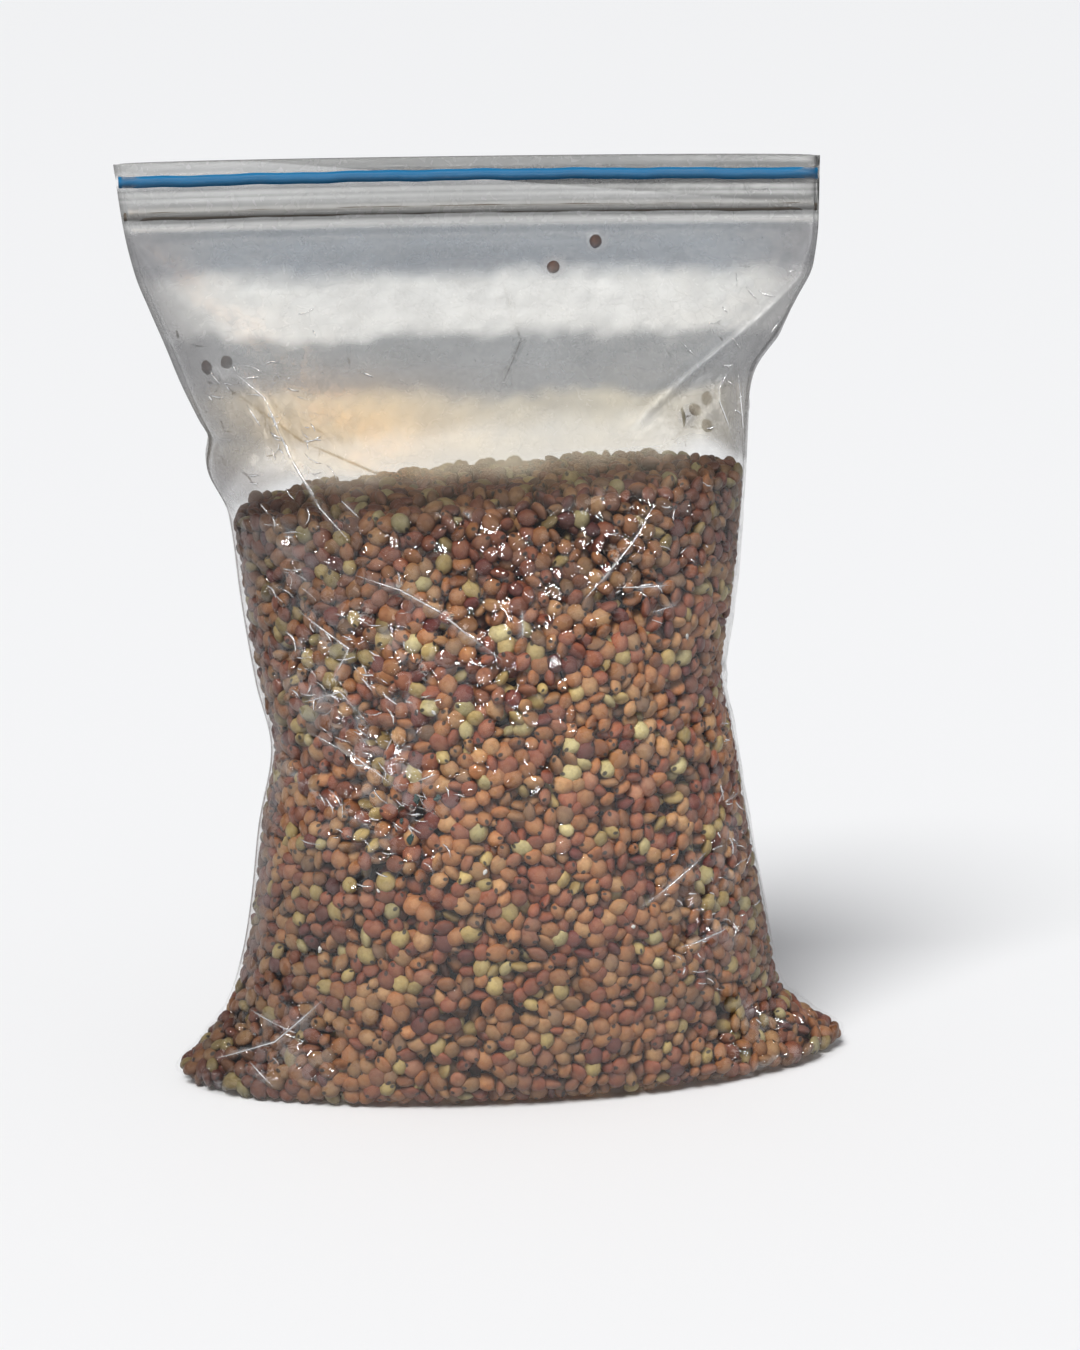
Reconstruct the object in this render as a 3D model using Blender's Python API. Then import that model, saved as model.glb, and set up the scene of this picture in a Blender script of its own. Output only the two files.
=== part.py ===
"""A clear zip-top bag that stands upright, filled with loose sorghum grain.

Metres, +Z up. The bag's front faces -Y and its closure runs along X. The origin
is the middle of the flat base that the bag stands on, under its two bottom corners.
"""
import bisect
import math
import random

import bmesh
import bpy
from mathutils import Matrix, Vector

# The bag's film
BAG_WIDTH = 0.178          # flat width, from outer side edge to outer side edge
BAG_HEIGHT = 0.2338        # standing height, from the base to the top of the lips
EAR_REACH = 0.0893         # from the middle to the tip of a pointed bottom corner
MOUTH_LEAN = -0.0105       # the mouth leans this far to one side
BELLY = 0.050              # half depth of the bag where it is fullest
FILM_WALL = 0.0005         # wall of the model's film, the real one is 0.06 mm thick
SEAM_WIDTH = 0.0015        # side weld, measured across
SEAM_HALF = 0.00045        # half the thickness of the two welded films
LIP_HALF = 0.0023          # half depth of the closed mouth
GAP = 0.0003               # clearance between pieces that touch
COLUMNS = 16               # strips of film between the side welds, on each face

# Height of a section, its left and right edge, its half depth, and how sharply
# the front and the back meet at the side weld: 0.05 is boxy, 1 is an ellipse
MOUTH_LEFT = MOUTH_LEAN - BAG_WIDTH / 2
MOUTH_RIGHT = MOUTH_LEAN + BAG_WIDTH / 2
SECTIONS = (
    (0.0000, -0.0850, 0.0840, 0.72 * BELLY, 0.95),
    (0.0040, -EAR_REACH, EAR_REACH, 0.80 * BELLY, 1.12),
    (0.0100, -0.0840, 0.0808, 0.87 * BELLY, 1.18),
    (0.0180, -0.0772, 0.0722, 0.91 * BELLY, 1.12),
    (0.0300, -0.0724, 0.0686, 0.94 * BELLY, 1.05),
    (0.0470, -0.0692, 0.0652, 0.97 * BELLY, 1.02),
    (0.0660, -0.0669, 0.0612, BELLY, 1.00),
    (0.0870, -0.0634, 0.0576, BELLY, 1.00),
    (0.1040, -0.0670, 0.0548, 0.98 * BELLY, 1.00),
    (0.1250, -0.0702, 0.0576, 0.95 * BELLY, 1.00),
    (0.1470, -0.0728, 0.0592, 0.89 * BELLY, 1.00),
    (0.1600, -0.0780, 0.0599, 0.80 * BELLY, 1.04),
    (0.1700, -0.0796, 0.0604, 0.70 * BELLY, 1.08),
    (0.1800, -0.0840, 0.0618, 0.58 * BELLY, 1.10),
    (0.1900, -0.0880, 0.0685, 0.45 * BELLY, 1.10),
    (0.1980, -0.0913, 0.0728, 0.34 * BELLY, 1.05),
    (0.2070, -0.0947, 0.0776, 0.21 * BELLY, 0.90),
    (0.2175, -0.0970, 0.0782, LIP_HALF, 0.05),
    (BAG_HEIGHT, MOUTH_LEFT, MOUTH_RIGHT, LIP_HALF, 0.05),
)
FLOOR_SHARE = 0.965        # how far out the film's inner floor reaches, front to back
FILM_ROWS = (0.002, 0.007, 0.014, 0.024, 0.038, 0.056, 0.076, 0.115, 0.136, 0.2125)

# The press-to-close strips: height of each rib, and the profile's own sizes
UPPER_ZIP = 0.2306
LOWER_ZIP = 0.2222
ZIP_END = 0.005            # the strips are crushed flat this far from the side edges
RIB_BASE = 0.00115         # half height of the rib's foot on the film
RIB_FOOT = 0.0004          # thickness of that foot
RIB_STEM = 0.0004          # half height of the stem that stands on it
RIB_HEAD = 0.0008          # half height of the arrow head at its end
HEAD_BACK, HEAD_TIP = -0.0001, 0.0006    # how deep the head starts and ends
CHANNEL_OUT = 0.0015       # half height of the channel that the rib snaps into
CHANNEL_IN = 0.0011        # half height of the space inside it
CHANNEL_HOOK = 0.00075     # half height of the slot between its two hooks
CHANNEL_WALL = 0.0004
HOOK_TIP, HOOK_BACK = -0.0007, -0.0004   # how deep the hooks end and start

# The grain
HEAP_TOP = 0.1525          # height of the grain against the film, at the middle
HEAP_TILT = 0.065          # rise of that line towards +X, in metres for each metre
HEAP_CROWN = 0.004         # how much higher the heap is at its middle
HEAP_BACK_FALL = 0.05      # the heap's top falls towards the back by this slope
RELIEF_PITCH = 0.0094      # spacing of the kernels in the heap's relief
RELIEF_DEPTH = 0.0029      # from a kernel's crown down to the valley between three
RELIEF_TOP = 0.48          # a kernel's blunt top, as a share of its width
RELIEF_FALL = 0.10         # how far the rim of that top lies down, as a share of the depth
TOP_SIDES = 4
MOST_LEAD = 0.4            # of a turn, by which one ring of a band may run ahead
RELIEF_DEEPEST = 0.0007    # some kernels lie this much further in
RELIEF_SHIFT = 0.0015      # and this much to one side
CROWN_INSET = 0.0004       # further in than the gap, as crowns are joined by flat facets
STRAY_KERNEL = (0.0038, 0.0032, 0.0024)
HUSK = (0.0052, 0.0011, 0.0007)
KERNEL_TAPER = 0.25        # how much narrower a kernel gets towards its point
HUSK_BEND = 60.0           # sideways bend of a husk, for each metre along it squared
CLING_GAP = 0.0006         # from the film to what clings to it

# Stray kernels: place along X, height, face of the bag, turn in degrees
STRAYS = (
    (0.0203, 0.2145, -1, 75),
    (0.0085, 0.2090, -1, 60),
    (-0.0796, 0.1845, -1, 110),
    (-0.0724, 0.1840, 1, 60),
    (0.0536, 0.1718, 1, 100),
    (0.0512, 0.1686, 1, 20),
    (0.0540, 0.1646, 1, 45),
)
HUSKS = (
    (-0.0856, 0.1920, -1, 110),
    (0.0390, 0.1720, -1, 95),
)


def clear_scene():
    for old in list(bpy.data.objects):
        bpy.data.objects.remove(old, do_unlink=True)


def principled(name, colour, roughness, alpha=1.0):
    material = bpy.data.materials.new(name)
    material.use_nodes = True
    shader = material.node_tree.nodes["Principled BSDF"]
    shader.inputs["Base Color"].default_value = (*colour, 1.0)
    shader.inputs["Roughness"].default_value = roughness
    shader.inputs["Metallic"].default_value = 0.0
    shader.inputs["Alpha"].default_value = alpha
    material.diffuse_color = (*colour, alpha)
    return material


def add_node(name, bm, material, smooth_angle=None):
    """Close a bmesh into one named object with its own material."""
    bmesh.ops.recalc_face_normals(bm, faces=bm.faces)
    mesh = bpy.data.meshes.new(name)
    bm.to_mesh(mesh)
    bm.free()
    mesh.materials.append(material)
    if smooth_angle is not None:
        mesh.shade_smooth()
        mesh.set_sharp_from_angle(angle=smooth_angle)
    node = bpy.data.objects.new(name, mesh)
    bpy.context.collection.objects.link(node)
    return node


def slope_at(row, column):
    """Slope of the smooth curve through a column of SECTIONS, which never overshoots a row."""
    rises = []
    for low in (row - 1, row):
        if 0 <= low < len(SECTIONS) - 1:
            below, above = SECTIONS[low], SECTIONS[low + 1]
            rises.append((above[column] - below[column]) / (above[0] - below[0]))
    if rises[0] * rises[-1] <= 0:
        return 0.0
    return 2 * rises[0] * rises[-1] / (rises[0] + rises[-1])


def section(height):
    """Left edge, right edge, half depth and sharpness at a height, on a smooth curve."""
    heights = [row[0] for row in SECTIONS]
    low = min(max(bisect.bisect_right(heights, height) - 1, 0), len(SECTIONS) - 2)
    span = heights[low + 1] - heights[low]
    t = min(max((height - heights[low]) / span, 0.0), 1.0)
    values = []
    for column in range(1, 5):
        ease = 3 * t**2 - 2 * t**3
        leave = (t**3 - 2 * t**2 + t) * span * slope_at(low, column)
        arrive = (t**3 - t**2) * span * slope_at(low + 1, column)
        values.append((1 - ease) * SECTIONS[low][column] + ease * SECTIONS[low + 1][column]
                      + leave + arrive)
    return values


def film_point(turn, height, inset):
    """A point of the bag's section: turn 0 is the left weld, 0.5 the right, by the front.

    The inset moves it in from the film's outer face."""
    left, right, depth, sharp = section(height)
    half = (right - left) / 2 - SEAM_WIDTH - inset
    angle = 2 * math.pi * turn
    across = -math.cos(angle)
    bulge = abs(math.sin(angle)) ** sharp
    side = -1 if turn < 0.5 else 1
    return Vector(((left + right) / 2 + half * across, side * (depth - inset) * bulge, height))


def film_ring(height, inset):
    """One ring of the film's wall, from the left weld by the front to the right, and back."""
    left, right = section(height)[:2]
    ring = []
    for face in (-1, 1):
        for step in range(1, COLUMNS):
            turn = step / COLUMNS / 2 + (0 if face < 0 else 0.5)
            ring.append(film_point(turn, height, inset))
        weld = right if face < 0 else left
        root = weld + face * SEAM_WIDTH
        if inset:
            ring.append(Vector((root + face * inset, 0.0, height)))
        else:
            for x, y in ((root, face), (weld, face), (weld, -face), (root, -face)):
                ring.append(Vector((x, y * SEAM_HALF, height)))
    return ring


def skin(bm, lower, upper):
    """Join two rings of equally many vertices with a band of quads."""
    count = len(lower)
    for i in range(count):
        j = (i + 1) % count
        bm.faces.new((lower[i], lower[j], upper[j], upper[i]))


def build_film():
    bm = bmesh.new()
    heights = sorted([row[0] for row in SECTIONS] + list(FILM_ROWS))
    rings = {}
    for inset in (0.0, FILM_WALL):
        rows = []
        for height in heights:
            if inset and height < 0.003:
                continue
            rows.append([bm.verts.new(p) for p in film_ring(height, inset)])
        if inset:
            floor = [Vector((v.co.x, v.co.y * FLOOR_SHARE, FILM_WALL)) for v in rows[0]]
            rows.insert(0, [bm.verts.new(p) for p in floor])
        for lower, upper in zip(rows, rows[1:]):
            skin(bm, lower, upper)
        bm.faces.new(rows[0])
        rings[inset] = rows[-1]
    close_lips(bm, rings[0.0], rings[FILM_WALL])
    bmesh.ops.triangulate(bm, faces=bm.faces)
    return bm


def close_lips(bm, outer, inner):
    """The narrow top edge of the film, round the open mouth."""
    per_face = COLUMNS - 1
    for face in range(2):
        out, into = face * (per_face + 4), face * (per_face + 1)
        for step in range(per_face - 1):
            bm.faces.new((outer[out + step], outer[out + step + 1],
                          inner[into + step + 1], inner[into + step]))
        weld = [outer[(out + per_face - 1 + k) % len(outer)] for k in range(6)]
        tail = [inner[(into + per_face + 1 - k) % len(inner)] for k in range(3)]
        bm.faces.new(weld + tail)


def strip(profile, height):
    """A strip of the closure: its profile of (depth, height) points drawn along the mouth."""
    left, right = section(height)[:2]
    bm = bmesh.new()
    verts = [bm.verts.new((left + ZIP_END, y, height + z)) for y, z in profile]
    face = bm.faces.new(verts)
    drawn = bmesh.ops.extrude_face_region(bm, geom=[face])["geom"]
    moved = [item for item in drawn if isinstance(item, bmesh.types.BMVert)]
    bmesh.ops.translate(bm, verts=moved, vec=(right - left - 2 * ZIP_END, 0, 0))
    return bm


def rib_profile():
    foot = -(LIP_HALF - FILM_WALL - GAP)
    half = [(foot, RIB_BASE), (foot + RIB_FOOT, RIB_BASE), (foot + RIB_FOOT, RIB_STEM),
            (HEAD_BACK, RIB_STEM), (HEAD_BACK, RIB_HEAD), (HEAD_TIP, RIB_STEM)]
    return half + [(y, -z) for y, z in reversed(half)]


def channel_profile():
    back = LIP_HALF - FILM_WALL - GAP
    half = [(back, CHANNEL_OUT), (HOOK_TIP, CHANNEL_OUT), (HOOK_TIP, CHANNEL_HOOK),
            (HOOK_BACK, CHANNEL_HOOK), (HOOK_BACK, CHANNEL_IN),
            (back - CHANNEL_WALL, CHANNEL_IN)]
    return half + [(y, -z) for y, z in reversed(half)]


def heap_surface(x, y):
    """Height of the heap's top against the film, for a place on its rim."""
    return HEAP_TOP + HEAP_TILT * x - HEAP_BACK_FALL * max(y, 0.0)


def heap_ring(level, reach, count, phase, wobble):
    """Kernel crowns round the heap: level runs 0 to 1 up its side, reach 1 to 0 in over its top."""
    inset = FILM_WALL + GAP + CROWN_INSET
    foot = FILM_WALL + GAP
    ring = []
    for step in range(count):
        turn = (step + phase) / count
        turn += wobble.uniform(-1, 1) * RELIEF_SHIFT / (count * RELIEF_PITCH)
        rise, depth = level, 0.0
        if level > 0:
            rise = min(level + wobble.uniform(-1, 1) * RELIEF_SHIFT / HEAP_TOP, 1.0)
            depth = wobble.uniform(0, RELIEF_DEEPEST)
        rim = film_point(turn % 1.0, foot + rise * (HEAP_TOP - foot), inset)
        height = foot + rise * (heap_surface(rim.x, rim.y) - foot)
        rim = film_point(turn % 1.0, height, inset + depth)
        middle = Vector((sum(section(height)[:2]) / 2, 0, 0))
        crown = middle + (rim - middle) * reach
        if reach < 1:
            crown.z = heap_surface(crown.x, crown.y) + HEAP_CROWN * (1 - reach**2) - depth
        ring.append(crown)
    return ring


def stitch(bm, lower, upper):
    """A band of triangles between two rings that may hold different numbers of points.

    It steps along whichever ring gives the shorter edge, and neither runs far ahead."""
    faces = []
    i = j = 0
    while i < len(lower) or j < len(upper):
        a, b = lower[i % len(lower)], upper[j % len(upper)]
        next_a, next_b = lower[(i + 1) % len(lower)], upper[(j + 1) % len(upper)]
        lead = i / len(lower) - j / len(upper)
        shorter = (next_a.co - b.co).length <= (next_b.co - a.co).length
        along_lower = lead < -MOST_LEAD or (shorter and lead < MOST_LEAD)
        if j == len(upper) or (i < len(lower) and along_lower):
            faces.append(bm.faces.new((a, next_a, b)))
            i += 1
        else:
            faces.append(bm.faces.new((a, next_b, b)))
            j += 1
    return faces


def raise_kernel(bm, crown, valleys):
    """A kernel at a crown: a blunt round top, falling to the valleys round it."""
    around = []
    loop = crown.link_loops[0]
    for _ in crown.link_loops:
        around.append(valleys[loop.face])
        loop = loop.link_loop_prev.link_loop_radial_next
    middle = sum((valley.co for valley in around), Vector()) / len(around)
    lift = (crown.co - middle) * (RELIEF_TOP - RELIEF_FALL)
    tops = []
    sides = min(TOP_SIDES, len(around))
    for side in range(sides):
        valley = around[side * len(around) // sides]
        tops.append(bm.verts.new(crown.co.lerp(valley.co, RELIEF_TOP) + lift))
    bm.faces.new(tops)
    stitch(bm, tops, around)


def close_foot(bm, foot, valleys):
    """Join the flat ring at the heap's foot to the lowest valleys, and close it below."""
    for edge in {edge for vert in foot for edge in vert.link_edges}:
        around = [valleys[face] for face in edge.link_faces]
        if len(around) == 1:
            bm.faces.new((*edge.verts, *around))
            continue
        for vert in edge.verts:
            if vert in foot:
                bm.faces.new((vert, *around))
    bm.faces.new(foot)


def build_heap():
    """The grain as one body: a lattice of kernel crowns with a valley between every three."""
    wobble = random.Random(11)
    girth = 2 * (BAG_WIDTH - 2 * SEAM_WIDTH)
    row_pitch = RELIEF_PITCH * math.sin(math.radians(60))
    around = round(girth / RELIEF_PITCH)
    side_rows = round(HEAP_TOP / row_pitch)
    top_rows = round(BELLY / row_pitch)
    bm = bmesh.new()
    rings = []
    for row in range(side_rows + 1):
        level = row / side_rows
        ring = heap_ring(level, 1.0, around, row / 2 % 1, wobble)
        rings.append([bm.verts.new(p) for p in ring])
    for row in range(1, top_rows):
        reach = 1 - row / top_rows
        ring = heap_ring(1.0, reach, max(round(around * reach), 5), row / 2 % 1, wobble)
        rings.append([bm.verts.new(p) for p in ring])
    lattice = []
    for lower, upper in zip(rings, rings[1:]):
        lattice += stitch(bm, lower, upper)
    lattice += bmesh.ops.triangulate(bm, faces=[bm.faces.new(rings[-1])])["faces"]
    bmesh.ops.recalc_face_normals(bm, faces=lattice)
    if sum(face.normal.dot(face.calc_center_median()) for face in lattice) < 0:
        bmesh.ops.reverse_faces(bm, faces=lattice)
    valleys = {}
    for face in lattice:
        deep = face.calc_center_median() - face.normal * RELIEF_DEPTH
        valleys[face] = bm.verts.new(deep)
    for ring in rings[1:]:
        for crown in ring:
            raise_kernel(bm, crown, valleys)
    close_foot(bm, rings[0], valleys)
    bmesh.ops.delete(bm, geom=lattice, context="FACES")
    return bm


def grain_shape(size, bend=0.0):
    """One kernel or husk: a round body, drawn to a blunt point, lying flat in its own frame."""
    bm = bmesh.new()
    bmesh.ops.create_icosphere(bm, subdivisions=2, radius=0.5)
    for vert in bm.verts:
        taper = 1 - KERNEL_TAPER * max(vert.co.x, 0.0)
        vert.co = Vector((vert.co.x * size[0], vert.co.y * size[1] * taper,
                          vert.co.z * size[2] * taper))
        vert.co.y += bend * vert.co.x**2
    return bm


def film_inside(x, height, face):
    """A point on the inside of the film, on its front (face -1) or its back (face 1)."""
    left, right, depth, sharp = section(height)
    half = (right - left) / 2 - SEAM_WIDTH - FILM_WALL
    cosine = ((left + right) / 2 - x) / half
    bulge = math.sqrt(max(1 - cosine**2, 0.0)) ** sharp
    return Vector((x, face * (depth - FILM_WALL) * bulge, height))


def cling(bm, size, place):
    """Lay a kernel against the inside of the film at a place along X and a height."""
    x, height, face, degrees = place
    reach = size[1] / 2
    spot = film_inside(x, height, face)
    along = film_inside(x + reach, height, face) - film_inside(x - reach, height, face)
    up = film_inside(x, height + reach, face) - film_inside(x, height - reach, face)
    along.normalize()
    normal = along.cross(up).normalized()
    if normal.y * face > 0:
        normal = -normal
    up = normal.cross(along)
    frame = Matrix((along, up, normal)).transposed()
    turn = Matrix.Rotation(math.radians(degrees), 3, "Z")
    bmesh.ops.transform(bm, matrix=(frame @ turn).to_4x4(), verts=bm.verts)
    spot += normal * (size[2] / 2 + CLING_GAP)
    bmesh.ops.translate(bm, verts=bm.verts, vec=spot)


def build_strays():
    kernel = principled("sorghum_skin", (0.33, 0.13, 0.055), 0.45)
    husk = principled("husk", (0.20, 0.16, 0.08), 0.6)
    for number, place in enumerate(STRAYS, 1):
        bm = grain_shape(STRAY_KERNEL)
        cling(bm, STRAY_KERNEL, place)
        add_node(f"stray_grain_{number}", bm, kernel, math.radians(50))
    for number, place in enumerate(HUSKS, 1):
        bm = grain_shape(HUSK, HUSK_BEND)
        cling(bm, HUSK, place)
        add_node(f"stray_husk_{number}", bm, husk, math.radians(50))


def build_closure():
    blue = principled("blue_polyethylene", (0.0, 0.13, 0.38), 0.35)
    smoke = principled("smoke_polyethylene", (0.19, 0.16, 0.13), 0.35, alpha=0.8)
    clear = principled("clear_polyethylene", (0.80, 0.80, 0.78), 0.30, alpha=0.5)
    add_node("zip_rib_upper", strip(rib_profile(), UPPER_ZIP), blue)
    add_node("zip_rib_lower", strip(rib_profile(), LOWER_ZIP), smoke)
    add_node("zip_channel_upper", strip(channel_profile(), UPPER_ZIP), clear)
    add_node("zip_channel_lower", strip(channel_profile(), LOWER_ZIP), clear)


clear_scene()
film = principled("clear_film", (0.78, 0.78, 0.76), 0.22, alpha=0.35)
grain = principled("sorghum_grain", (0.36, 0.15, 0.06), 0.5)
add_node("bag_film", build_film(), film, math.radians(50))
add_node("grain_heap", build_heap(), grain)
build_closure()
build_strays()
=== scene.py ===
import math
import random

import bmesh
import bpy
import numpy as np
from mathutils import Matrix, Vector
from mathutils.bvhtree import BVHTree
from mathutils.geometry import delaunay_2d_cdt
from mathutils.kdtree import KDTree


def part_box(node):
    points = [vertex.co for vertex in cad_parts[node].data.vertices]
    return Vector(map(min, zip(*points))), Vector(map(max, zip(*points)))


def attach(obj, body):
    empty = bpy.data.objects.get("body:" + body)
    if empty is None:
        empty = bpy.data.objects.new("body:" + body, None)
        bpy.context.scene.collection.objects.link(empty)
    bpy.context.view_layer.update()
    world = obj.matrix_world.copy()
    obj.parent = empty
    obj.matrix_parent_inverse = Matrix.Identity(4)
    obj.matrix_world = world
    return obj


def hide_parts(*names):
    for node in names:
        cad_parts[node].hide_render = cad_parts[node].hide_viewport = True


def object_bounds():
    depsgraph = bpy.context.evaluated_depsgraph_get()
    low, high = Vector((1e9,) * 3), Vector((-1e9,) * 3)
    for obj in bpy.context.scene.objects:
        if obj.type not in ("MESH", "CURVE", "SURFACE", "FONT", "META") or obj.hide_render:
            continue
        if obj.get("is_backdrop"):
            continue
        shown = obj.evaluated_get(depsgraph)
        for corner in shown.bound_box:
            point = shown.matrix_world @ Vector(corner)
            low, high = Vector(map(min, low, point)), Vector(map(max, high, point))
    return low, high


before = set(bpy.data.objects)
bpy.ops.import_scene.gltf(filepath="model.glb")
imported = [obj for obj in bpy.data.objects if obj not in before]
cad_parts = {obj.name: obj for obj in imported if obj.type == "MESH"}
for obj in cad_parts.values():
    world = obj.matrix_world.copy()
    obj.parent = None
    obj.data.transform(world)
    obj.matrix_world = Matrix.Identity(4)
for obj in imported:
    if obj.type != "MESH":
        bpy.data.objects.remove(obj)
cad_low, cad_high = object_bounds()
MM = 0.001

# The bag's shape. A flat tube of film is welded down both sides, filled, and stood on its
# bottom: the grain swells it to a round pillar with a waist, the two lower corners are
# drawn out to points, and above the grain the film closes in to the flat mouth.
BAG_WIDTH = 0.178
MOUTH_RISE = 0.0012        # how far the middle of the mouth stands over the solid's mouth
MOUTH_BOW = 0.0009         # how far the mouth's ends droop below its middle
BAG_HEIGHT = cad_high.z + MOUTH_RISE
SEAM = 0.0016              # width of the side weld above the grain
SEAM_FILLED = 0.0005       # and beside the grain, which turns it out of sight
MOUTH_LEAN = -0.0105
LIP_FOOT = 0.2185          # the flat lips start here
LIP_HALF = 0.0010          # half depth of the lips between the strips

# Height, left edge, right edge, front depth, back depth, sharpness at the weld
OUTLINE = np.array((
    (0.0000, -0.0862, 0.0850, 0.0352, 0.0350, 0.95),
    (0.0035, -0.0892, 0.0890, 0.0395, 0.0390, 1.12),
    (0.0100, -0.0838, 0.0803, 0.0422, 0.0420, 1.22),
    (0.0180, -0.0770, 0.0718, 0.0442, 0.0440, 1.14),
    (0.0300, -0.0722, 0.0686, 0.0458, 0.0455, 1.05),
    (0.0470, -0.0690, 0.0651, 0.0472, 0.0468, 1.02),
    (0.0660, -0.0668, 0.0612, 0.0482, 0.0476, 1.00),
    (0.0865, -0.0632, 0.0576, 0.0484, 0.0478, 1.00),
    (0.1035, -0.0668, 0.0543, 0.0480, 0.0474, 1.00),
    (0.1250, -0.0702, 0.0572, 0.0462, 0.0460, 1.00),
    (0.1470, -0.0729, 0.0592, 0.0430, 0.0430, 1.00),
    (0.1600, -0.0782, 0.0599, 0.0388, 0.0388, 0.92),
    (0.1660, -0.0775, 0.0602, 0.0354, 0.0356, 0.84),
    (0.1710, -0.0799, 0.0606, 0.0325, 0.0327, 0.79),
    (0.1800, -0.0841, 0.0619, 0.0268, 0.0270, 0.70),
    (0.1900, -0.0880, 0.0684, 0.0202, 0.0204, 0.62),
    (0.1980, -0.0913, 0.0729, 0.0148, 0.0148, 0.56),
    (0.2070, -0.0947, 0.0772, 0.0084, 0.0084, 0.50),
    (LIP_FOOT, -0.0973, 0.0784, 0.0014, 0.0014, 0.10),
    (BAG_HEIGHT, MOUTH_LEAN - BAG_WIDTH / 2, MOUTH_LEAN + BAG_WIDTH / 2, 0.0012, 0.0012, 0.10),
))
UPPER_STRIP = 0.2306       # middle of the blue strip
LOWER_STRIP = 0.2222       # middle of the smoke-brown strip
STRIP_SWELL = 0.0009       # the lips stand apart round a strip
STRIP_SPREAD = 0.0013      # half the height over which they do
FILM_APART = 0.00018       # the two sheets stand this far from the bag's middle plane
MERGE = 0.00001            # points closer than this are one


def outline(height):
    """The outline's columns at an array of heights, on a smooth curve with no overshoot."""
    rows = OUTLINE[:, 0]
    rises = np.diff(OUTLINE[:, 1:], axis=0) / np.diff(rows)[:, None]
    product = rises[:-1] * rises[1:]
    inner = np.where(product > 0, 2 * product / np.where(product > 0, rises[:-1] + rises[1:], 1), 0)
    slopes = np.vstack((rises[:1], inner, rises[-1:]))
    low = np.clip(np.searchsorted(rows, height, side="right") - 1, 0, len(rows) - 2)
    span = (rows[low + 1] - rows[low])[..., None]
    t = np.clip((height - rows[low])[..., None] / span, 0, 1)
    ease = 3 * t**2 - 2 * t**3
    curve = (1 - ease) * OUTLINE[low, 1:] + ease * OUTLINE[low + 1, 1:]
    curve += (t**3 - 2 * t**2 + t) * span * slopes[low] + (t**3 - t**2) * span * slopes[low + 1]
    return np.moveaxis(curve, -1, 0)


def near(value, middle, width):
    """1 at the middle, falling to 0 at a distance of about twice the width."""
    return np.exp(-((value - middle) / width) ** 2)


def mouth_bow(across):
    """How far the mouth droops below its middle, at a share of its width."""
    return MOUTH_BOW * (1 - np.sin(math.pi * across))


def film_surface(across, height, fold, face):
    """Points of the resting film. across runs 0 to 1 from weld to weld, height is in metres,
    and fold runs from 0 at the bottom's middle fold to 1 at the base's rim."""
    left, right, front, back, sharp = outline(height)
    depth = front if face < 0 else back
    swell = near(height, UPPER_STRIP, STRIP_SPREAD) + near(height, LOWER_STRIP, STRIP_SPREAD)
    depth = np.where(height > LIP_FOOT, LIP_HALF + STRIP_SWELL * swell, depth)
    half = (right - left) / 2
    seam = SEAM_FILLED + (SEAM - SEAM_FILLED) * np.clip((height - 0.155) / 0.025, 0, 1)
    weld = seam / (2 * half)
    turn = np.clip((across - weld) / (1 - 2 * weld), 0, 1)
    x = (left + right) / 2 - (half - seam) * np.cos(math.pi * turn)
    x = np.where(across < weld, left + (2 * half) * across, x)
    x = np.where(across > 1 - weld, right - (2 * half) * (1 - across), x)
    bulge = np.sin(math.pi * turn) ** sharp
    apart = FILM_APART * np.clip(np.minimum(across, 1 - across) * 400, 0, 1)
    bow = mouth_bow(across) * np.clip((height - 0.2) / 0.03, 0, 1)
    return np.stack((x, face * (depth * bulge * fold + apart), height - bow), axis=-1)


# The crumpled film. Thin polyethylene doesn't stretch, so where it isn't pressed flat by the
# grain it breaks into small flat facets that meet in sharp creases, and long folds run from
# the corners. Each face of the bag is one sheet, and the two are welded at the sides.
COLUMNS = 150
BOTTOM_ROWS = 10
BODY_ROWS = 172
LIP_ROWS = 44

# Long creases on the front, as places (x, z) in millimetres, then height and width
FRONT_CREASES = (
    (((-46, 137), (-36, 134), (-27, 129), (-20, 123), (-12, 117)), 1.3, 3.0),
    (((28, 152), (22, 144), (17, 139), (9, 131)), 1.2, 3.0),
    (((17, 133), (32, 132)), 0.8, 2.2),
    (((27, 126), (34, 127)), 0.7, 2.0),
    (((-7, 129), (-7, 122)), 0.7, 2.0),
    (((-73, 185), (-66, 179), (-60, 164), (-54, 153), (-48, 146)), 1.8, 4.0),
    (((-70, 177), (-67, 172)), 0.8, 2.5),
    (((-49, 155), (-45, 151)), 0.8, 2.0),
    (((-59, 127), (-48, 119), (-52, 110)), 1.0, 2.6),
    (((-58, 104), (-50, 108), (-44, 101)), 0.9, 2.4),
    (((-63, 88), (-60, 84), (-48, 77), (-34, 70)), 1.8, 4.5),
    (((-56, 96), (-47, 92), (-36, 84)), 1.0, 3.0),
    (((76, 207), (61, 196), (41, 183), (30, 176), (19, 168)), 2.0, 4.5),
    (((51, 182), (48, 178), (48, 175), (50, 170), (53, 162)), 0.8, 2.2),
    (((54, 181), (55, 171), (56, 161)), 0.9, 2.2),
    (((62, 173), (55, 171)), 0.7, 2.0),
    (((23, 52), (42, 63)), 1.0, 3.2),
    (((35, 40), (49, 42)), 1.1, 3.2),
    (((-71, 22), (-61, 19)), 1.0, 3.0),
    (((-83, 8), (-78, 2)), 0.8, 2.4),
    (((-72, 10), (-67, 5)), 0.8, 2.4),
    (((-78, 168), (-72, 170)), 1.2, 3.0),
    (((55, 3), (67, 6), (82, 6)), 1.4, 3.5),
    (((52, 22), (62, 14), (76, 8)), 1.2, 3.5),
    (((-80, 9), (-66, 16), (-55, 28)), 1.2, 3.5),
    (((46, 96), (54, 104), (58, 112)), 1.0, 3.5),
)
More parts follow.
